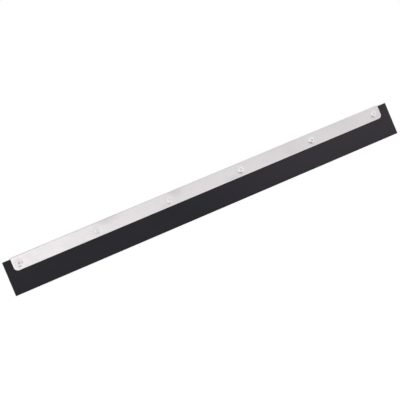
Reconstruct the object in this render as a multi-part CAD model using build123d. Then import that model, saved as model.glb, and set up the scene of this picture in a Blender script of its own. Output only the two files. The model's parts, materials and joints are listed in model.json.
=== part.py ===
from build123d import *
import os
from math import sqrt

# Squeegee head: a rubber blade gripped in a folded sheet channel by a row of blind rivets.
# Sizes are in millimetres. X runs along the blade, +Z goes from the wiping edge up to the fold,
# and the rivet heads face -Y, the front. The origin is the middle of the wiping edge.

# Rubber blade, cut from flat strip
blade_length = 609.6
blade_height = 49.0
blade_thickness = 6.35
blade_overhang = 12.7           # bare rubber past the channel's ends, the mean of the two

# Sheet channel, folded over the top of the blade
sheet_thickness = 1.2
bend_inner_radius = 0.6
flange_height = 20.1            # top of the fold down to the flanges' free edge
corner_radius = 6.0             # at the four free corners of the blank
channel_shift = -1.3            # middle of the channel off the middle of the blade

# Row of blind rivets through both flanges and the rubber
rivet_count = 6
rivet_end_distance = 9.5        # end rivet's even place in from the channel's end
rivet_edge_distance = 9.3       # rivet centres above the flanges' free edge
rivet_drifts = [-1.0, 1.5, -0.5, 0.5, 4.5, -1.0]    # each rivet off its even place, as set by hand

# Rivet body: a soft tube with a domed head in front and a formed bulb behind
shank_diameter = 4.8
rivet_head_diameter = 9.5
rivet_head_height = 1.5
rivet_head_rim = 0.35           # thickness of the dome at its edge
rivet_bore_diameter = 2.86
bulb_seat_diameter = 6.0        # ring of the bulb that bears on the back flange
bulb_diameter = 7.0
bulb_rise = 1.7                 # widest place of the bulb behind the back flange
tail_diameter = 5.4
tail_length = 4.4               # end of the tube behind the back flange

# Mandrel: the pin that stays in the tube after its stem has been snapped off
mandrel_head_diameter = 4.2
mandrel_head_height = 0.9       # stands out of the tube's tail
mandrel_head_round = 0.4
mandrel_seat_length = 0.9       # cone under the head, sunk in the tube's mouth
mandrel_recess = 0.7            # snapped end below the crown of the dome
snap_neck_diameter = 1.9
snap_neck_length = 0.45

# Fits, each measured on the radius
sheet_hole_clearance = 0.05
rubber_hole_clearance = 0.10
mandrel_clearance = 0.03

# Flex line: the free lip swings about the blade's middle plane, below the flanges
flex_depth = 4.5                # swing axis below the flanges' free edge
flex_clearance = 0.15
flex_rim_wall = 0.3             # least wall of the clamped root beside the lip's rounded top

# Places worked out from the sizes above
channel_length = blade_length - 2 * blade_overhang
channel_width = blade_thickness + 2 * sheet_thickness
bend_outer_radius = bend_inner_radius + sheet_thickness
channel_top = blade_height + bend_outer_radius
flange_edge = channel_top - flange_height
flex_axis = flange_edge - flex_depth
rivet_line = flange_edge + rivet_edge_distance
rivet_span = channel_length - 2 * rivet_end_distance
rivet_places = [
    channel_shift + rivet_span * (i / (rivet_count - 1) - 0.5) + rivet_drifts[i % len(rivet_drifts)]
    for i in range(rivet_count)
]
front_face = -channel_width / 2
tail_end = channel_width + tail_length
mandrel_diameter = rivet_bore_diameter - 2 * mandrel_clearance


def along_blade(section, length):
    """Solid of a section drawn in Y and Z, centred on X."""
    return extrude(Plane.YZ * section, amount=length / 2, both=True)


def rivet_holes(diameter):
    """Cylinders along Y at the rivet places, longer than the stack that they pierce."""
    drill = Rot(X=90) * Cylinder(diameter / 2, 2 * channel_width)
    return [Pos(x, 0, rivet_line) * drill for x in rivet_places]


def rounded_top(section, radius):
    """A section with the two corners along its top rounded."""
    return fillet(section.vertices().group_by(Axis.Y)[-1], radius)


def channel():
    """One strip of sheet, folded twice over the blade's top edge, with its free corners rounded."""
    outside = Pos(0, channel_top) * Rectangle(
        channel_width, flange_height, align=(Align.CENTER, Align.MAX)
    )
    inside = Pos(0, flange_edge) * Rectangle(
        blade_thickness, flange_height - sheet_thickness, align=(Align.CENTER, Align.MIN)
    )
    section = rounded_top(outside, bend_outer_radius) - rounded_top(inside, bend_inner_radius)
    folded = Pos(channel_shift, 0, 0) * along_blade(section, channel_length)
    free_corners = folded.edges().filter_by(Axis.Y).group_by(Axis.Z)[0]
    folded = fillet(free_corners, corner_radius)
    return folded - rivet_holes(shank_diameter + 2 * sheet_hole_clearance)


def blade_root():
    """Clamped part of the rubber, pierced for the rivets, with a round seat along its lower edge."""
    seat_radius = blade_thickness / 2 + flex_clearance
    rim = flex_axis + sqrt(seat_radius**2 - (blade_thickness / 2 - flex_rim_wall) ** 2)
    strip = Pos(0, rim) * Rectangle(
        blade_thickness, blade_height - rim, align=(Align.CENTER, Align.MIN)
    )
    section = strip - Pos(0, flex_axis) * Circle(seat_radius)
    root = along_blade(section, blade_length)
    return root - rivet_holes(shank_diameter + 2 * rubber_hole_clearance)


def blade_lip():
    """Free part of the rubber: square at the wiping edge, rounded where it swings."""
    strip = Rectangle(blade_thickness, flex_axis, align=(Align.CENTER, Align.MIN))
    section = strip + Pos(0, flex_axis) * Circle(blade_thickness / 2)
    return along_blade(section, blade_length)


def dome_depth(radius):
    """How far the domed head has fallen away from its crown at a radius."""
    fall = rivet_head_height - rivet_head_rim
    ball = (fall**2 + (rivet_head_diameter / 2) ** 2) / (2 * fall)
    return ball - sqrt(ball**2 - radius**2)


def turned(outline):
    """Solid of revolution about Y of a closed outline drawn as radius and depth."""
    return revolve(make_face(outline), Axis.Y)


def rivet_body():
    """Tube with its domed head at depth 0, the front flange's face, and its bulb behind the back one."""
    bore = rivet_bore_diameter / 2
    head = rivet_head_diameter / 2
    shank = shank_diameter / 2
    mouth = mandrel_head_diameter / 2 + mandrel_clearance
    middle = (bore + head) / 2
    crown = (bore, dome_depth(bore) - rivet_head_height)
    rim = (head, -rivet_head_rim)
    seat = (bulb_seat_diameter / 2, channel_width)
    tail = (tail_diameter / 2, tail_end)
    dome = ThreePointArc(crown, (middle, dome_depth(middle) - rivet_head_height), rim)
    neck = Polyline(rim, (head, 0), (shank, 0), (shank, channel_width), seat)
    bulb = ThreePointArc(seat, (bulb_diameter / 2, channel_width + bulb_rise), tail)
    inside = Polyline(tail, (mouth, tail_end), (bore, tail_end - mandrel_seat_length), crown)
    return turned([dome, neck, bulb, inside])


def rivet_mandrel():
    """Snapped pin in the tube: a necked break under the dome, a stem and a coned head at the tail."""
    stem = mandrel_diameter / 2
    head = mandrel_head_diameter / 2
    snapped = mandrel_recess - rivet_head_height
    end = tail_end + mandrel_head_height
    shoulder = (head, end - mandrel_head_round)
    flat = (head - mandrel_head_round, end)
    corner = mandrel_head_round * (1 - sqrt(0.5))
    pin = Polyline(
        flat,
        (0, end),
        (0, snapped),
        (snap_neck_diameter / 2, snapped),
        (stem, snapped + snap_neck_length),
        (stem, tail_end - mandrel_seat_length),
        (head, tail_end),
        shoulder,
    )
    rounding = ThreePointArc(shoulder, (head - corner, end - corner), flat)
    return turned([pin, rounding])


def nodes():
    """Every piece in its place, by name."""
    pieces = {
        "channel": channel(),
        "blade_root": blade_root(),
        "blade_lip": blade_lip(),
    }
    body = rivet_body()
    mandrel = rivet_mandrel()
    for number, x in enumerate(rivet_places, start=1):
        place = Pos(x, front_face, rivet_line)
        pieces[f"rivet_body_{number}"] = place * body
        pieces[f"rivet_mandrel_{number}"] = place * mandrel
    return pieces


os.makedirs("parts", exist_ok=True)
for name, shape in nodes().items():
    shape.label = name
    export_step(shape, f"parts/{name}.step")
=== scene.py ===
import json
import math

import bmesh
import bpy
from mathutils import Euler, Matrix, Vector, noise


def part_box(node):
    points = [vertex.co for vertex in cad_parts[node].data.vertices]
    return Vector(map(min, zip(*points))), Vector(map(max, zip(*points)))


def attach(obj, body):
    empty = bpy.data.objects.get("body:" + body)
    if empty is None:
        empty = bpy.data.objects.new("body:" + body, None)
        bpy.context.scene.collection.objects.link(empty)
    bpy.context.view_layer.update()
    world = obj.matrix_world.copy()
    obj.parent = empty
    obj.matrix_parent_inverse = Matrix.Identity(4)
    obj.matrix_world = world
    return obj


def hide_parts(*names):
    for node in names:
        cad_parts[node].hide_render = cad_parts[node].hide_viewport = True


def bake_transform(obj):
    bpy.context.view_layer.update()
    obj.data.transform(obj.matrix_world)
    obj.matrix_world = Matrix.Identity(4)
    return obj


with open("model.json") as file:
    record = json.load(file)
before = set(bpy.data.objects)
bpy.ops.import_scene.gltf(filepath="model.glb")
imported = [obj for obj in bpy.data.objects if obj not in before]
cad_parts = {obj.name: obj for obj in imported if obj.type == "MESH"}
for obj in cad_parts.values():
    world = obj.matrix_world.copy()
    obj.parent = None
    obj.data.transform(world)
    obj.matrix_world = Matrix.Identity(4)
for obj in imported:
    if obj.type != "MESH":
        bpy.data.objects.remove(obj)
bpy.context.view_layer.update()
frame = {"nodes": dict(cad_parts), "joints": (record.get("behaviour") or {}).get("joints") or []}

# Rubber blade
# One strip of matt black rubber, cut square from rolled sheet: its wide faces are dull and even, its edges
# freshly cut. The rivets squeeze it between the channel's flanges. The free lip below bends as it wipes,
# but it is built straight here.
MM = 0.001
FRONT, BACK = -1, 1
blade_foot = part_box("blade_lip")[0].z
blade_end, blade_face, blade_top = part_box("blade_root")[1]
channel_low, channel_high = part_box("channel")
clamp_edge = channel_low.z
channel_face, channel_top = channel_high.yz
flex_axis = frame["joints"][0]["pos_m"][2]
rivet_numbers = range(1, 1 + sum(name.startswith("rivet_body_") for name in frame["nodes"]))
rivet_boxes = [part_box(f"rivet_body_{number}") for number in rivet_numbers]
rivet_places = [(low + high) / 2 for low, high in rivet_boxes]
rubber_hole = 2.5 * MM
cut_round = 0.25 * MM
corner_shrink = 0.9
squeeze_out = 0.15 * MM
squeeze_drop = 0.9 * MM
grip_fade = 4 * MM
sheet_clearance = 0.03 * MM
dish_depth = 0.18 * MM
dish_reach = {FRONT: 4.9 * MM, BACK: 4.2 * MM}
wave_depth = 0.06 * MM
wave_length = 45 * MM
wave_height = 22 * MM
wave_apart = 5.0
slack_depth = 0.25 * MM
slack_height = 9.0 * MM
slack_folds = {
    FRONT: [(-149 * MM, 13 * MM), (-44 * MM, 11 * MM)],
    BACK: [(-210 * MM, 15 * MM), (68 * MM, 18 * MM)],
}


def drawn_in(x, z, side):
    """How far sheet and rubber have gone in on a side: a dish at each rivet, slow waves and slack folds."""
    rivet = min(rivet_places, key=lambda place: abs(place.x - x))
    dish = math.exp(-((math.hypot(x - rivet.x, z - rivet.z) / dish_reach[side]) ** 4))
    below_fold = min(1.0, max(0.0, (blade_top - z) / slack_height))
    wave = 0.5 + noise.noise((x / wave_length, side * wave_apart, z / wave_height))
    slack = sum(math.exp(-(((x - place) / reach) ** 2)) for place, reach in slack_folds[side])
    return dish_depth * dish + wave_depth * wave * below_fold + slack_depth * slack * (1 - below_fold) ** 2


def evenly(first, last, step):
    """Values from first to last, about a step apart."""
    count = max(1, round(abs(last - first) / step))
    return [first + (last - first) * i / count for i in range(count + 1)]


def finer_at_rivets(first, last, coarse, fine, reach):
    """Places along the blade from first to last, closer together at the rivets."""
    marks = [first]
    for rivet in rivet_places:
        marks += [max(first, rivet.x - reach), min(last, rivet.x + reach)]
    marks.append(last)
    places = [first]
    for i, (start, end) in enumerate(zip(marks, marks[1:])):
        if end > start:
            places += evenly(start, end, fine if i % 2 else coarse)[1:]
    return places


def quarter_round(radius, degrees):
    """Pairs of setbacks from a rounded corner's two faces, at each of the turns given."""
    turns = [math.radians(turn) for turn in degrees]
    return [(radius * (1 - math.sin(turn)), radius * (1 - math.cos(turn))) for turn in turns]


def with_rounded_ends(first, last, radius, between):
    """Pairs of place and inset along a bar from first to last, with both its ends rounded off."""
    rounding = quarter_round(radius, (90, 60, 30, 0))
    left = [(first + back, inset) for back, inset in rounding]
    right = [(last - back, inset) for back, inset in rounding[::-1]]
    return left + [(x, 0.0) for x in between] + right


crease_angle = math.radians(40)


def smoothed(mesh):
    """Turns a mesh's faces outwards, and shades them smooth up to the crease angle."""
    work = bmesh.new()
    work.from_mesh(mesh)
    bmesh.ops.recalc_face_normals(work, faces=work.faces)
    work.to_mesh(mesh)
    work.free()
    mesh.shade_smooth()
    mesh.set_sharp_from_angle(angle=crease_angle)


def placed(name, data):
    """Object of a mesh, a lamp or a camera, in the scene."""
    made = bpy.data.objects.new(name, data)
    bpy.context.scene.collection.objects.link(made)
    return made


def skin(name, sections):
    """Piece over a row of closed sections, whose ends are closed by a ladder of quads."""
    count = len(sections[0])
    last = (len(sections) - 1) * count
    faces = []
    for row in range(0, last, count):
        for i in range(count):
            j = (i + 1) % count
            faces.append((row + i, row + j, row + count + j, row + count + i))
    for i in range(count // 2 - 1):
        mate = count - 1 - i
        faces.append((i, i + 1, mate - 1, mate))
        faces.append((last + i, last + i + 1, last + mate - 1, last + mate))
    mesh = bpy.data.meshes.new(name)
    mesh.from_pydata([point for section in sections for point in section], [], faces)
    smoothed(mesh)
    return placed(name, mesh)


def pierced(piece, radius):
    """Drills the rivet holes through a piece, and closes the slivers that a drill leaves."""
    sliver = 0.002 * MM
    drill_length = 30 * MM
    drill_sides = 48
    work = bmesh.new()
    for rivet in rivet_places:
        stand = Matrix.Translation((rivet.x, 0, rivet.z)) @ Matrix.Rotation(math.radians(90), 4, "X")
        bmesh.ops.create_cone(
            work,
            cap_ends=True,
            segments=drill_sides,
            radius1=radius,
            radius2=radius,
            depth=drill_length,
            matrix=stand,
        )
    mesh = bpy.data.meshes.new("drill")
    work.to_mesh(mesh)
    work.free()
    drill = placed("drill", mesh)
    cut = piece.modifiers.new("holes", "BOOLEAN")
    cut.operation = "DIFFERENCE"
    cut.object = drill
    holed = bpy.data.meshes.new_from_object(piece.evaluated_get(bpy.context.evaluated_depsgraph_get()))
    piece.modifiers.remove(cut)
    bpy.data.objects.remove(drill)
    work = bmesh.new()
    work.from_mesh(holed)
    bmesh.ops.remove_doubles(work, verts=work.verts, dist=sliver)
    bmesh.ops.dissolve_degenerate(work, edges=work.edges, dist=sliver)
    work.to_mesh(holed)
    work.free()
    smoothed(holed)
    piece.data = holed


def inside_channel(x):
    """How far a place along the blade lies in from the channel's nearer end."""
    return max(0.0, min(x - channel_low.x, channel_high.x - x))


def blade_half(x, z, side):
    """Half thickness of the strip: squeezed under a flange, and pressed out just below it."""
    gripped = min(1.0, inside_channel(x) / grip_fade)
    if z > clamp_edge:
        return blade_face - sheet_clearance - gripped * drawn_in(x, z, side)
    drop = (clamp_edge - z) / squeeze_drop
    return blade_face + gripped * squeeze_out * drop * math.exp(1 - drop)


# Rows up the strip: far apart on the lip, close together where it bends, and in between under the flanges.
foot_margin = 1 * MM
lip_row = 2.5 * MM
bend_row = 0.5 * MM
grip_margin = 0.1 * MM
grip_row = 1 * MM
top_margin = 0.5 * MM
bend_end = 2 * flex_axis - clamp_edge
blade_levels = evenly(blade_foot + foot_margin, bend_end, lip_row)
blade_levels += evenly(bend_end, clamp_edge, bend_row)[1:]
blade_levels += evenly(clamp_edge + grip_margin, blade_top - top_margin, grip_row)


def blade_section(x, inset):
    """Outline of the strip at x, up its front and down its back."""
    rounding = quarter_round(cut_round - corner_shrink * inset, (0, 30, 60, 90))
    outline = []
    for side in (FRONT, BACK):
        half = [(blade_face - inset - back, blade_foot + inset + rise) for back, rise in rounding]
        half += [(blade_half(x, z, side) - inset, z) for z in blade_levels]
        top_half = blade_half(x, blade_top, side) - inset
        half += [(top_half - back, blade_top - inset - rise) for back, rise in rounding[::-1]]
        outline += [(x, side * y, z) for y, z in half[::-side]]
    return outline


end_margin = 1 * MM
blade_middle = finer_at_rivets(
    end_margin - blade_end, blade_end - end_margin, coarse=7 * MM, fine=1.2 * MM, reach=8 * MM
)
blade_stations = with_rounded_ends(-blade_end, blade_end, cut_round, blade_middle)
blade = skin("rubber_blade", [blade_section(x, inset) for x, inset in blade_stations])
pierced(blade, rubber_hole)


def node_group(name, inputs, outputs):
    """Shader node group with named sockets, and its two end nodes."""
    group = bpy.data.node_groups.new(name, "ShaderNodeTree")
    for socket, kind in inputs.items():
        group.interface.new_socket(socket, in_out="INPUT", socket_type=kind)
    for socket, kind in outputs.items():
        group.interface.new_socket(socket, in_out="OUTPUT", socket_type=kind)
    return group, group.nodes.new("NodeGroupInput"), group.nodes.new("NodeGroupOutput")


# Soft patches, such as bloom on rubber or handling haze on metal.
cloudiness, entry, leave = node_group(
    "cloudiness",
    {"Vector": "NodeSocketVector", "Scale": "NodeSocketFloat"},
    {"Mask": "NodeSocketFloat"},
)
patches = cloudiness.nodes.new("ShaderNodeTexNoise")
patches.inputs["Detail"].default_value = 4.0
patches.inputs["Roughness"].default_value = 0.55
spread = cloudiness.nodes.new("ShaderNodeMapRange")
spread.interpolation_type = "SMOOTHSTEP"
spread.inputs["From Min"].default_value = 0.32
spread.inputs["From Max"].default_value = 0.68
cloudiness.links.new(entry.outputs["Vector"], patches.inputs["Vector"])
cloudiness.links.new(entry.outputs["Scale"], patches.inputs["Scale"])
cloudiness.links.new(patches.outputs["Fac"], spread.inputs["Value"])
cloudiness.links.new(spread.outputs["Result"], leave.inputs["Mask"])

# Long thin marks along the blade, such as rolling lines and scuffs.
hairlines, entry, leave = node_group(
    "hairlines",
    {"Vector": "NodeSocketVector", "Along": "NodeSocketFloat", "Across": "NodeSocketFloat"},
    {"Height": "NodeSocketFloat", "Mask": "NodeSocketFloat"},
)
stretch = hairlines.nodes.new("ShaderNodeCombineXYZ")
stretched = hairlines.nodes.new("ShaderNodeVectorMath")
stretched.operation = "MULTIPLY"
lines = hairlines.nodes.new("ShaderNodeTexNoise")
lines.inputs["Scale"].default_value = 1.0
lines.inputs["Detail"].default_value = 3.0
few = hairlines.nodes.new("ShaderNodeMapRange")
few.inputs["From Min"].default_value = 0.60
few.inputs["From Max"].default_value = 0.74
hairlines.links.new(entry.outputs["Along"], stretch.inputs["X"])
hairlines.links.new(entry.outputs["Across"], stretch.inputs["Y"])
hairlines.links.new(entry.outputs["Across"], stretch.inputs["Z"])
hairlines.links.new(entry.outputs["Vector"], stretched.inputs[0])
hairlines.links.new(stretch.outputs["Vector"], stretched.inputs[1])
hairlines.links.new(stretched.outputs["Vector"], lines.inputs["Vector"])
hairlines.links.new(lines.outputs["Fac"], few.inputs["Value"])
hairlines.links.new(lines.outputs["Fac"], leave.inputs["Height"])
hairlines.links.new(few.outputs["Result"], leave.inputs["Mask"])


def new_material(name):
    """Node material, its tree, its shader and the object coordinates that its patterns follow."""
    material = bpy.data.materials.new(name)
    material.use_nodes = True
    tree = material.node_tree
    place = tree.nodes.new("ShaderNodeTexCoord").outputs["Object"]
    return material, tree, tree.nodes["Principled BSDF"], place


def pattern(tree, group, place, **values):
    """A shared effect placed in a material with its own values."""
    node = tree.nodes.new("ShaderNodeGroup")
    node.node_tree = group
    tree.links.new(place, node.inputs["Vector"])
    for socket, value in values.items():
        node.inputs[socket].default_value = value
    return node


def graded(tree, value, low, high, start=0.0, end=1.0):
    """Value that runs smoothly from low to high as another goes from start to end."""
    node = tree.nodes.new("ShaderNodeMapRange")
    node.interpolation_type = "SMOOTHSTEP"
    node.inputs["From Min"].default_value = start
    node.inputs["From Max"].default_value = end
    node.inputs["To Min"].default_value = low
    node.inputs["To Max"].default_value = high
    tree.links.new(value, node.inputs["Value"])
    return node.outputs["Result"]


def toned(tree, mask, low, high):
    """Colour that runs from low to high with a mask. Each is a colour or a socket."""
    node = tree.nodes.new("ShaderNodeMix")
    node.data_type = "RGBA"
    tree.links.new(mask, node.inputs["Factor"])
    for socket, colour in ((node.inputs[6], low), (node.inputs[7], high)):
        if isinstance(colour, tuple):
            socket.default_value = (*colour, 1.0)
        else:
            tree.links.new(colour, socket)
    return node.outputs[2]


def bumped(tree, shader, height, depth, strength):
    """Relief of a height pattern, as deep as given in metres."""
    node = tree.nodes.new("ShaderNodeBump")
    node.inputs["Distance"].default_value = depth
    node.inputs["Strength"].default_value = strength
    tree.links.new(height, node.inputs["Height"])
    tree.links.new(node.outputs["Normal"], shader.inputs["Normal"])


rubber_black = (0.0158, 0.0147, 0.0200)
rubber_bloom = (0.0240, 0.0224, 0.0295)
# Painted sheen: the rubber is painted paler towards its right end, where light glances off it.
sheen_dark = (0.0388, 0.0328, 0.0414)
sheen_pale = (0.0456, 0.0390, 0.0484)
scuff_grey = (0.031, 0.0285, 0.035)
sheen_start = -60 * MM
sheen_full = 210 * MM
rubber, tree, shader, place = new_material("black_rubber")
bloom = pattern(tree, cloudiness, place, Scale=26.0).outputs["Mask"]
grain = pattern(tree, cloudiness, place, Scale=1600.0).outputs["Mask"]
scuffs = pattern(tree, hairlines, place, Along=30.0, Across=900.0).outputs["Mask"]
clean = toned(tree, bloom, rubber_black, rubber_bloom)
sheen = toned(tree, bloom, sheen_dark, sheen_pale)
parted = tree.nodes.new("ShaderNodeSeparateXYZ")
tree.links.new(place, parted.inputs["Vector"])
# Painted sheen, growing towards the right end.
sheen_end = graded(tree, parted.outputs["X"], low=0.0, high=1.0, start=sheen_start, end=sheen_full)
sheened = toned(tree, sheen_end, clean, sheen)
tree.links.new(toned(tree, scuffs, sheened, scuff_grey), shader.inputs["Base Color"])
tree.links.new(graded(tree, bloom, low=0.60, high=0.72), shader.inputs["Roughness"])
shader.inputs["Specular IOR Level"].default_value = 0.25
bumped(tree, shader, grain, depth=0.03 * MM, strength=0.5)
blade.data.materials.append(rubber)
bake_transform(blade)
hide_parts("blade_root", "blade_lip")

# Channel
# One strip of galvanised steel sheet, folded twice into a U over the top of the rubber, with the four free
# corners of the blank rounded. The rivets draw its flanges in a little, so the light on them isn't even.
sheet = channel_face - blade_face
bend_outside = channel_top - blade_top
free_corner = 6.0 * MM
deburr = 0.3 * MM
sheet_hole = 2.45 * MM
flange_rows = 27
bend_step_degrees = 11.25
corner_start_degrees = 20
corner_step_degrees = 7


def sheet_section(x, inset):
    """Outline of the folded sheet at x, over its outside and back along its inside."""
    from_end = min(free_corner, inside_channel(x))
    edge = clamp_edge + free_corner - math.sqrt(free_corner**2 - (free_corner - from_end) ** 2) + inset
    edge_break = quarter_round(deburr, (0, 45, 90))
    levels = evenly(edge + deburr, blade_top, (blade_top - edge - deburr) / flange_rows)[1:]
    outside, inside = [], []
    for side in (FRONT, BACK):
        edge_in = drawn_in(x, edge, side)
        outer = [(channel_face - inset - back - edge_in, edge + rise) for back, rise in edge_break]
        inner = [(blade_face + inset + back - edge_in, edge + rise) for back, rise in edge_break]
        outer += [(channel_face - inset - drawn_in(x, z, side), z) for z in levels]
        inner += [(blade_face + inset - drawn_in(x, z, side), z) for z in levels]
        centre = channel_face - bend_outside - drawn_in(x, blade_top, side)
        outer_bend = bend_outside - inset
        inner_bend = bend_outside - sheet + inset
        for turn in [math.radians(a) for a in evenly(0, 90, bend_step_degrees)[1:]]:
            outer.append((centre + outer_bend * math.cos(turn), blade_top + outer_bend * math.sin(turn)))
            inner.append((centre + inner_bend * math.cos(turn), blade_top + inner_bend * math.sin(turn)))
        outside += [(x, side * y, z) for y, z in outer[::-side]]
        inside += [(x, side * y, z) for y, z in inner[::-side]]
    return outside + inside[::-1]


corner_turns = [math.radians(a) for a in evenly(corner_start_degrees, 90, corner_step_degrees)]
corner_steps = [free_corner * (1 - math.cos(turn)) for turn in corner_turns]
left_end, right_end = channel_low.x, channel_high.x
channel_middle = [left_end + step for step in corner_steps]
channel_middle += finer_at_rivets(
    left_end + free_corner, right_end - free_corner, coarse=4 * MM, fine=0.7 * MM, reach=7.7 * MM
)[1:-1]
channel_middle += [right_end - step for step in corner_steps[::-1]]
channel_stations = with_rounded_ends(left_end, right_end, deburr, channel_middle)
channel = skin("channel_sheet", [sheet_section(x, inset) for x, inset in channel_stations])
pierced(channel, sheet_hole)


def cells(tree, place, size, irregular):
    """Cells about as large as given, each with a value of its own, and the distance from their middles."""
    bent = tree.nodes.new("ShaderNodeTexNoise")
    bent.inputs["Scale"].default_value = 0.5 / size
    tree.links.new(place, bent.inputs["Vector"])
    shift = tree.nodes.new("ShaderNodeVectorMath")
    shift.operation = "MULTIPLY_ADD"
    shift.inputs[1].default_value = (irregular * size,) * 3
    tree.links.new(bent.outputs["Color"], shift.inputs[0])
    tree.links.new(place, shift.inputs[2])
    node = tree.nodes.new("ShaderNodeTexVoronoi")
    node.inputs["Scale"].default_value = 1 / size
    tree.links.new(shift.outputs["Vector"], node.inputs["Vector"])
    own = tree.nodes.new("ShaderNodeSeparateColor")
    tree.links.new(node.outputs["Color"], own.inputs["Color"])
    return own.outputs["Red"], node.outputs["Distance"]


def combined(tree, operation, one, two):
    """Two values taken together by an operation of the Math node."""
    node = tree.nodes.new("ShaderNodeMath")
    node.operation = operation
    tree.links.new(one, node.inputs[0])
    tree.links.new(two, node.inputs[1])
    return node.outputs[0]


def strongest(tree, masks):
    """Mask that is as strong as the strongest of several."""
    result = masks[0]
    for mask in masks[1:]:
        result = combined(tree, "MAXIMUM", result, mask)
    return result


def soft_spot(tree, place, centre, reach, strength, lean=0.0):
    """Mask of a patch about a centre, with a strength in its middle, that fades out to its reach."""
    about = tree.nodes.new("ShaderNodeMapping")
    about.vector_type = "TEXTURE"
    about.inputs["Location"].default_value = centre
    about.inputs["Rotation"].default_value = (0, -lean, 0)
    about.inputs["Scale"].default_value = reach
    tree.links.new(place, about.inputs["Vector"])
    inwards = tree.nodes.new("ShaderNodeTexGradient")
    inwards.gradient_type = "SPHERICAL"
    tree.links.new(about.outputs["Vector"], inwards.inputs["Vector"])
    return graded(tree, inwards.outputs["Fac"], low=0.0, high=strength)


# Painted shade on the rivets and round them: dark crescents along the lower rims of the heads, where their
# shadows fall, and darker patches on the domes. Each mark is a rivet's number, its turn about the rivet from
# straight down in degrees, its distance from the rivet's axis, the half length and half width at which it has
# half faded, and how dark it is.
rivet_shade_marks = [
    (1, -3, 5.1 * MM, (2.2 * MM, 0.7 * MM), 0.80),
    (1, 82, 5.2 * MM, (1.7 * MM, 0.6 * MM), 0.70),
    (1, 110, 0.5 * MM, (1.5 * MM, 1.2 * MM), 0.36),
    (2, 0, 3.8 * MM, (2.6 * MM, 1.3 * MM), 0.20),
    (3, -27, 5.1 * MM, (1.9 * MM, 0.8 * MM), 0.55),
    (4, -25, 4.1 * MM, (2.6 * MM, 0.9 * MM), 0.80),
    (4, 170, 1.8 * MM, (0.7 * MM, 0.6 * MM), 0.60),
    (5, -32, 3.8 * MM, (2.3 * MM, 0.9 * MM), 0.95),
    (5, 80, 1.2 * MM, (1.8 * MM, 1.6 * MM), 0.25),
    (6, -46, 4.2 * MM, (2.1 * MM, 0.9 * MM), 0.75),
    (6, 160, 2.6 * MM, (1.1 * MM, 0.5 * MM), 0.30),
    (6, 90, 0.5 * MM, (3.5 * MM, 3.5 * MM), 0.10),
]
rivet_shade_height = 0.5 * MM
rivet_shade_depth = 2.0 * MM
rivet_shade_raggedness = 0.5 * MM
rivet_shade_colour = (0.22, 0.21, 0.215)
# Node group of the painted shade round the rivets, shared by the sheet, the domes and the pins.
rivet_shade, entry, leave = node_group("rivet_shade", {"Vector": "NodeSocketVector"}, {"Mask": "NodeSocketFloat"})
uneven = rivet_shade.nodes.new("ShaderNodeTexNoise")
uneven.normalize = False
uneven.inputs["Scale"].default_value = 500.0
uneven.inputs["Detail"].default_value = 2.0
rivet_shade.links.new(entry.outputs["Vector"], uneven.inputs["Vector"])
ragged = rivet_shade.nodes.new("ShaderNodeVectorMath")
ragged.operation = "MULTIPLY_ADD"
ragged.inputs[1].default_value = (rivet_shade_raggedness,) * 3
rivet_shade.links.new(uneven.outputs["Color"], ragged.inputs[0])
rivet_shade.links.new(entry.outputs["Vector"], ragged.inputs[2])
rivet_shade_spots = []
for number, turn, from_axis, (half_length, half_width), strength in rivet_shade_marks:
    lean = math.radians(turn)
    rivet = rivet_places[number - 1]
    x = rivet.x + from_axis * math.sin(lean)
    z = rivet.z - from_axis * math.cos(lean)
    reach = (2 * half_length, 2 * rivet_shade_depth, 2 * half_width)
    centre = (x, -channel_face - rivet_shade_height, z)
    rivet_shade_spots.append(soft_spot(rivet_shade, ragged.outputs["Vector"], centre, reach, strength, lean))
rivet_shade.links.new(strongest(rivet_shade, rivet_shade_spots), leave.inputs["Mask"])

# Painted shade on the front flange: darker patches where the sheet is dented and mirrors less light. Each
# mark is its place along and up the blade, how far it reaches along and up, and how strong it is.
dent_shade_marks = [
    (-149 * MM, 50 * MM, 26 * MM, 12 * MM, 0.60),
    (-44 * MM, 50 * MM, 19 * MM, 16 * MM, 0.48),
    (-68 * MM, 35 * MM, 8 * MM, 6 * MM, 0.28),
    (39 * MM, 33 * MM, 15 * MM, 6 * MM, 0.30),
    (138 * MM, 38 * MM, 24 * MM, 26 * MM, 0.20),
]
dent_shade_depth = 4 * MM
spangle_size = 5.5 * MM
speck_spacing = 9.0 * MM
zinc_grey = (0.785, 0.755, 0.770)
zinc_haze = (0.815, 0.785, 0.800)
zinc_flake = (0.83, 0.80, 0.815)
rolled_line = (0.740, 0.712, 0.726)
dent_shade_grey = (0.60, 0.58, 0.585)
speck_grey = (0.33, 0.32, 0.33)
cut_steel = (0.52, 0.50, 0.50)
zinc, tree, shader, place = new_material("galvanised_sheet")
haze = pattern(tree, cloudiness, place, Scale=24.0).outputs["Mask"]
rolling = pattern(tree, hairlines, place, Along=45.0, Across=2600.0)
spangle = cells(tree, place, spangle_size, irregular=0.8)[0]
speck_chance, speck_distance = cells(tree, place, speck_spacing, irregular=0.3)
rare = graded(tree, speck_chance, low=0.0, high=1.0, start=0.70, end=0.72)
small = graded(tree, speck_distance, low=1.0, high=0.0, start=0.015, end=0.05)
specks = combined(tree, "MULTIPLY", rare, small)
facing = tree.nodes.new("ShaderNodeSeparateXYZ")
tree.links.new(tree.nodes.new("ShaderNodeNewGeometry").outputs["Normal"], facing.inputs["Vector"])
sideways = tree.nodes.new("ShaderNodeMath")
sideways.operation = "ABSOLUTE"
tree.links.new(facing.outputs["Y"], sideways.inputs[0])
off_flange = graded(tree, sideways.outputs[0], low=1.0, high=0.0, start=0.35, end=0.60)
off_fold = graded(tree, facing.outputs["Z"], low=1.0, high=0.0, start=0.10, end=0.30)
cut_edge = combined(tree, "MULTIPLY", off_flange, off_fold)
dent_shades = []
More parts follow.
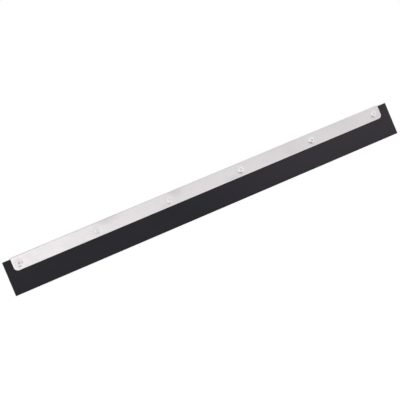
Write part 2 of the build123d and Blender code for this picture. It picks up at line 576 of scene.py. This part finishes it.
for x, z, reach_along, reach_up, strength in dent_shade_marks:
    centre = (x, -channel_face, z)
    dent_shades.append(soft_spot(tree, place, centre, (reach_along, dent_shade_depth, reach_up), strength))
dull = toned(tree, haze, zinc_grey, zinc_haze)
flaked = toned(tree, graded(tree, spangle, low=0.0, high=0.4), dull, zinc_flake)
rolled = toned(tree, rolling.outputs["Mask"], flaked, rolled_line)
# Painted shade of the dents in the front flange.
dent_shaded = toned(tree, strongest(tree, dent_shades), rolled, dent_shade_grey)
specked = toned(tree, specks, dent_shaded, speck_grey)
# Painted shade round the rivet heads darkens the sheet there.
rivet_shaded = toned(tree, pattern(tree, rivet_shade, place).outputs["Mask"], specked, rivet_shade_colour)
tree.links.new(toned(tree, cut_edge, rivet_shaded, cut_steel), shader.inputs["Base Color"])
tree.links.new(graded(tree, spangle, low=0.35, high=0.31), shader.inputs["Roughness"])
shader.inputs["Metallic"].default_value = 1.0
bumped(tree, shader, rolling.outputs["Height"], depth=0.02 * MM, strength=0.35)
channel.data.materials.append(zinc)
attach(channel, "frame")
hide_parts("channel")

# Rivet tubes
# Six blind rivets of soft aluminium: a dome pressed down on the front flange, with the ring that the setting
# tool leaves on it, a tube through the rubber, and a bulb that the pulled pin has swollen behind.
on_axis = 1e-7


def turned(name, centre, profile, wobble, steps=48):
    """Piece turned about a line along Y through a centre, from its profile of radius and depth."""
    work = bmesh.new()
    rings = []
    for radius, depth in profile:
        ring = []
        for i in range(steps if radius > on_axis else 1):
            angle = math.tau * i / steps
            r, y = wobble(radius, depth, angle)
            ring.append(work.verts.new((centre.x + r * math.cos(angle), y, centre.z + r * math.sin(angle))))
        rings.append(ring)
    is_tube = profile[0][0] > on_axis
    for one, two in zip(rings, rings[1:] + rings[:1] if is_tube else rings[1:]):
        for i in range(steps):
            j = (i + 1) % steps
            corners = [one[i % len(one)], one[j % len(one)], two[j % len(two)], two[i % len(two)]]
            work.faces.new(list(dict.fromkeys(corners)))
    mesh = bpy.data.meshes.new(name)
    work.to_mesh(mesh)
    work.free()
    smoothed(mesh)
    return placed(name, mesh)


aluminium_dull = (0.885, 0.86, 0.87)
aluminium_bright = (0.935, 0.91, 0.92)
aluminium, tree, shader, place = new_material("rivet_aluminium")
tumbled = pattern(tree, cloudiness, place, Scale=900.0).outputs["Mask"]
handled = pattern(tree, cloudiness, place, Scale=160.0).outputs["Mask"]
clean = toned(tree, handled, aluminium_dull, aluminium_bright)
# Painted shade darkens the domes at their lower rims and in patches.
rivet_metal_shaded = toned(tree, pattern(tree, rivet_shade, place).outputs["Mask"], clean, rivet_shade_colour)
tree.links.new(rivet_metal_shaded, shader.inputs["Base Color"])
tree.links.new(graded(tree, handled, low=0.60, high=0.52), shader.inputs["Roughness"])
shader.inputs["Metallic"].default_value = 1.0
bumped(tree, shader, tumbled, depth=0.01 * MM, strength=0.3)

head_rim = 0.35 * MM
rim_round = 0.12 * MM
bore = 1.43 * MM
lip_round = 0.10 * MM
dome_fullness = 2.6
dome_step = 0.22 * MM
tool_ring = 2.5 * MM
tool_ring_width = 0.2 * MM
tool_ring_depth = 0.03 * MM
shank = 2.4 * MM
bulb_seat = 3.0 * MM
bulb_widest = 3.5 * MM
bulb_rise = 1.7 * MM
tail = 2.7 * MM
tail_mouth = 2.13 * MM
mouth_depth = 0.9 * MM
bulb_steps = 10
bulb_lobes = 3
lobe_height = 0.07 * MM
lobe_turn = 2.1


def arc_through(first, middle, last, steps):
    """Points of the circular arc through three points of a profile."""
    (ax, ay), (bx, by), (cx, cy) = first, middle, last
    d = 2 * (ax * (by - cy) + bx * (cy - ay) + cx * (ay - by))
    a2, b2, c2 = ax * ax + ay * ay, bx * bx + by * by, cx * cx + cy * cy
    ox = (a2 * (by - cy) + b2 * (cy - ay) + c2 * (ay - by)) / d
    oy = (a2 * (cx - bx) + b2 * (ax - cx) + c2 * (bx - ax)) / d
    radius = math.hypot(ax - ox, ay - oy)
    start = math.atan2(ay - oy, ax - ox)
    sweep = math.remainder(math.atan2(cy - oy, cx - ox) - start, math.tau)
    turns = [start + sweep * i / steps for i in range(steps + 1)]
    return [(ox + radius * math.cos(a), oy + radius * math.sin(a)) for a in turns]


for number, centre, (low, high) in zip(rivet_numbers, rivet_places, rivet_boxes):
    head = (high.x - low.x) / 2
    front = drawn_in(centre.x + head, centre.z, FRONT) - channel_face
    back = channel_face - drawn_in(centre.x + bulb_seat, centre.z, BACK)
    crown = low.y + front + channel_face
    rim = front - head_rim
    profile = [(bore, crown + lip_round)]
    for r in evenly(bore + lip_round, head - rim_round, dome_step):
        pressed = tool_ring_depth * math.exp(-(((r - tool_ring) / tool_ring_width) ** 2))
        fall = ((r - bore) / (head - bore)) ** dome_fullness
        profile.append((r, crown + (rim - crown) * fall + pressed))
    profile += [(head, rim + rim_round), (head, front), (shank, front), (shank, back)]
    profile += arc_through((bulb_seat, back), (bulb_widest, back + bulb_rise), (tail, high.y), bulb_steps)
    profile += [(tail_mouth, high.y), (bore, high.y - mouth_depth)]

    def swollen(radius, depth, angle):
        """Soft lobes on the bulb, turned a different way on each rivet."""
        bulge = math.sin(math.pi * min(1.0, max(0.0, (depth - back) / (high.y - back))))
        return radius + lobe_height * bulge * math.cos(bulb_lobes * angle + lobe_turn * number), depth

    tube = turned(f"rivet_tube_{number}", centre, profile, swollen)
    tube.data.materials.append(aluminium)
    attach(tube, "frame")
    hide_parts(f"rivet_body_{number}")

# Rivet pins
# The steel pins that swelled the tubes, snapped off inside them: a torn end shows in the hole of each dome,
# and a coned head fills the mouth of each tail behind.
steel_grey = (0.66, 0.65, 0.655)
steel_bright = (0.74, 0.73, 0.735)
torn_steel = (0.84, 0.83, 0.835)
torn_depth = 3.0 * MM
steel, tree, shader, place = new_material("mandrel_steel")
grainy = pattern(tree, cloudiness, place, Scale=1500.0).outputs["Mask"]
drawn = pattern(tree, cloudiness, place, Scale=220.0).outputs["Mask"]
parted = tree.nodes.new("ShaderNodeSeparateXYZ")
tree.links.new(place, parted.inputs["Vector"])
front_end = graded(tree, parted.outputs["Y"], low=1.0, high=0.0, start=-torn_depth, end=0.0)
torn = combined(tree, "MULTIPLY", grainy, front_end)
smooth = toned(tree, drawn, steel_grey, steel_bright)
clean = toned(tree, torn, smooth, torn_steel)
# The same painted shade round the rivets, where it falls on the pins.
rivet_metal_shaded = toned(tree, pattern(tree, rivet_shade, place).outputs["Mask"], clean, rivet_shade_colour)
tree.links.new(rivet_metal_shaded, shader.inputs["Base Color"])
tree.links.new(graded(tree, torn, low=0.42, high=0.36), shader.inputs["Roughness"])
shader.inputs["Metallic"].default_value = 1.0
bumped(tree, shader, torn, depth=0.04 * MM, strength=0.6)

pin = 1.40 * MM
pin_neck = 1.36 * MM
neck_length = 0.45 * MM
break_round = 0.15 * MM
break_fullness = 6
break_shares = (0, 0.3, 0.55, 0.75, 0.9, 1)
break_rises = [-0.45 * MM, 0.40 * MM, 0.42 * MM, 0.40 * MM, 0.26 * MM, 0.38 * MM]
pin_head = 2.10 * MM
pin_head_round = 0.4 * MM
tear_size = 0.5 * MM
tear_depth = 0.09 * MM
tear_apart = 7.0
for number, centre, tube_box, break_rise in zip(rivet_numbers, rivet_places, rivet_boxes, break_rises):
    low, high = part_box(f"rivet_mandrel_{number}")
    mouth = tube_box[1].y
    broken = low.y - break_rise
    profile = [(share * pin_neck, broken + break_round * share**break_fullness) for share in break_shares]
    profile += [(pin, broken + neck_length), (pin, mouth - mouth_depth), (pin_head, mouth)]
    profile.append((pin_head, high.y - pin_head_round))
    for short_of_end, short_of_side in quarter_round(pin_head_round, (30, 60, 90)):
        profile.append((pin_head - short_of_side, high.y - short_of_end))
    profile.append((0, high.y))

    def snapped(radius, depth, angle):
        """Rough relief on the broken end."""
        if depth > broken + break_round:
            return radius, depth
        x, z = radius * math.cos(angle), radius * math.sin(angle)
        return radius, depth + tear_depth * noise.noise((x / tear_size, z / tear_size, tear_apart * number))

    stub = turned(f"rivet_pin_{number}", centre, profile, snapped, steps=32)
    stub.data.materials.append(steel)
    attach(stub, "frame")
    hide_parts(f"rivet_mandrel_{number}")

# Floor
# A plain white sweep under the wiping edge. The camera and the metal see it white, apart from the blade's
# shadow, and all else gets the light that grey paper throws back.
floor_half = 6.0
lit_grey = (0.80, 0.80, 0.80, 1)
shown_grey = (0.35, 0.35, 0.35, 1)
shown_glow = 0.77
floor_mesh = bpy.data.meshes.new("floor")
corners = [(-1, -1), (1, -1), (1, 1), (-1, 1)]
floor_mesh.from_pydata([(x * floor_half, y * floor_half, 0) for x, y in corners], [], [(0, 1, 2, 3)])
placed("floor", floor_mesh)


def seen_or_mirrored(tree):
    """1 for what the camera sees straight, in a mirror or through glass, and 0 for what only lights."""
    path = tree.nodes.new("ShaderNodeLightPath")
    rays = ("Is Camera Ray", "Is Glossy Ray", "Is Transmission Ray")
    return strongest(tree, [path.outputs[ray] for ray in rays])


paper = bpy.data.materials.new("white_paper")
paper.use_nodes = True
tree = paper.node_tree
tree.nodes.remove(tree.nodes["Principled BSDF"])
lit = tree.nodes.new("ShaderNodeBsdfDiffuse")
lit.inputs["Color"].default_value = lit_grey
shown = tree.nodes.new("ShaderNodeBsdfDiffuse")
shown.inputs["Color"].default_value = shown_grey
glow = tree.nodes.new("ShaderNodeEmission")
glow.inputs["Strength"].default_value = shown_glow
white = tree.nodes.new("ShaderNodeAddShader")
choice = tree.nodes.new("ShaderNodeMixShader")
tree.links.new(shown.outputs[0], white.inputs[0])
tree.links.new(glow.outputs[0], white.inputs[1])
tree.links.new(seen_or_mirrored(tree), choice.inputs[0])
tree.links.new(lit.outputs[0], choice.inputs[1])
tree.links.new(white.outputs[0], choice.inputs[2])
tree.links.new(choice.outputs[0], tree.nodes["Material Output"].inputs["Surface"])
floor_mesh.materials.append(paper)

# Room light
# A white room for the metal to mirror. Its front wall greys towards the right, short of a white corner, and a
# little at the far left, under lighter and darker ceiling panels. The back has a grey ceiling, and the right
# end is grey, because the key softbox stands before it. All else is lit by an even fill, two softboxes stand
# on the right and in front, and the camera sees plain white.
white_wall = (1.0, 1.0, 1.0)
left_wall = (0.85, 0.85, 0.85)
end_wall = (0.50, 0.50, 0.50)
back_ceiling = (0.80, 0.80, 0.80)
front_ceiling = [(-0.25, 1.0), (-0.02, 0.6), (0.06, 0.6), (0.22, 1.0), (0.28, 1.0), (0.42, 0.80)]
world = bpy.data.worlds.new("white_room")
bpy.context.scene.world = world
world.use_nodes = True
tree = world.node_tree
walls = tree.nodes["Background"]
walls.inputs["Strength"].default_value = 1.0
fill = tree.nodes.new("ShaderNodeBackground")
fill.inputs["Color"].default_value = (1, 1, 1, 1)
fill.inputs["Strength"].default_value = 0.65
direction = tree.nodes.new("ShaderNodeSeparateXYZ")
tree.links.new(tree.nodes.new("ShaderNodeTexCoord").outputs["Generated"], direction.inputs["Vector"])
greying_wall = graded(tree, direction.outputs["X"], low=1.0, high=0.53, start=0.02, end=0.55)
far_right = graded(tree, direction.outputs["X"], low=0.0, high=1.0, start=0.66, end=0.86)
far_left = graded(tree, direction.outputs["X"], low=1.0, high=0.0, start=-0.65, end=-0.25)
right_wall = toned(tree, far_right, greying_wall, white_wall)
front_wall = toned(tree, far_left, right_wall, left_wall)
panels = tree.nodes.new("ShaderNodeValToRGB")
while len(panels.color_ramp.elements) < len(front_ceiling):
    panels.color_ramp.elements.new(0.5)
for stop, (x, grey) in zip(panels.color_ramp.elements, front_ceiling):
    stop.position = (x + 1) / 2
    stop.color = (grey, grey, grey, 1)
from_left = tree.nodes.new("ShaderNodeMapRange")
from_left.inputs["From Min"].default_value = -1.0
tree.links.new(direction.outputs["X"], from_left.inputs["Value"])
tree.links.new(from_left.outputs["Result"], panels.inputs["Fac"])
above_front = graded(tree, direction.outputs["Z"], low=0.0, high=1.0, start=0.25, end=0.75)
front_room = toned(tree, above_front, front_wall, panels.outputs["Color"])
above_back = graded(tree, direction.outputs["Z"], low=0.0, high=1.0, start=0.55, end=0.90)
back_room = toned(tree, above_back, white_wall, back_ceiling)
behind = graded(tree, direction.outputs["Y"], low=0.0, high=1.0, start=-0.1, end=0.25)
front_and_back = toned(tree, behind, front_room, back_room)
far_end = graded(tree, direction.outputs["X"], low=0.0, high=1.0, start=0.86, end=0.97)
room = toned(tree, far_end, front_and_back, end_wall)
straight = tree.nodes.new("ShaderNodeLightPath").outputs["Is Camera Ray"]
tree.links.new(toned(tree, straight, room, white_wall), walls.inputs["Color"])
choice = tree.nodes.new("ShaderNodeMixShader")
tree.links.new(seen_or_mirrored(tree), choice.inputs[0])
tree.links.new(fill.outputs[0], choice.inputs[1])
tree.links.new(walls.outputs[0], choice.inputs[2])
tree.links.new(choice.outputs[0], tree.nodes["World Output"].inputs["Surface"])


def softbox(name, place, aim, size, watts):
    """Square soft lamp that looks at a point."""
    lamp = bpy.data.lights.new(name, "AREA")
    lamp.size = size
    lamp.energy = watts
    made = placed(name, lamp)
    made.location = place
    made.rotation_euler = (Vector(aim) - Vector(place)).to_track_quat("-Z", "Y").to_euler()


softbox("key_softbox", place=(1.5, -0.42, 0.9), aim=(0.1, 0, 0.03), size=1.6, watts=3.5)
softbox("fill_softbox", place=(-0.3, -2.2, 0.5), aim=(-0.1, 0, 0.03), size=0.9, watts=1.5)

# Camera
# A long lens in front of the blade, a little to its left and barely above the floor, rolled so that the blade
# climbs to the right across the picture.
azimuth = math.radians(-14.6)
elevation = math.radians(0.8)
roll = math.radians(-22.73)
distance = 1.484
aim = Vector((-16.0 * MM, 0, 22.9 * MM))
lens = bpy.data.cameras.new("camera")
lens.lens = 94
lens.clip_start = 0.05
camera = placed("camera", lens)
turn = Euler((math.radians(90) - elevation, 0, azimuth)).to_matrix().to_4x4()
eye = aim + turn @ Vector((0, 0, distance))
camera.matrix_world = Matrix.Translation(eye) @ turn @ Matrix.Rotation(roll, 4, "Z")
bpy.context.scene.camera = camera
bpy.context.scene.view_settings.view_transform = "Standard"
